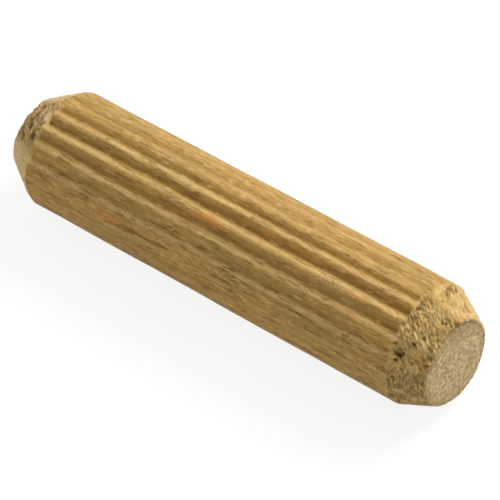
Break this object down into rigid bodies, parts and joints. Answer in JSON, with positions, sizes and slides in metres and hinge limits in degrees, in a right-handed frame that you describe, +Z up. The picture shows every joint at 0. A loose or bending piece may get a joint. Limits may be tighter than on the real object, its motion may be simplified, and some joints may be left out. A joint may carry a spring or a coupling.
{
  "type": "fluted wooden dowel pin",
  "caption": "Round wooden joint pin with lengthwise grip flutes, a tapered chamfer at each end and flat end faces; glued into matching holes to line up and hold boards.",
  "frame": {"origin": "on the shank's axis, halfway along the pin's length", "axes": "+X along the pin towards the end with the wider face, +Z up as it lies on the two lands beside its lowest flute"},
  "size_m": [0.035, 0.0082, 0.0082],
  "materials": {
    "beech": "bare, unsanded, rolled flutes and torn end grain"
  },
  "bodies": {
    "root": {"dowel_pin": "beech"}
  },
  "joints": []
}
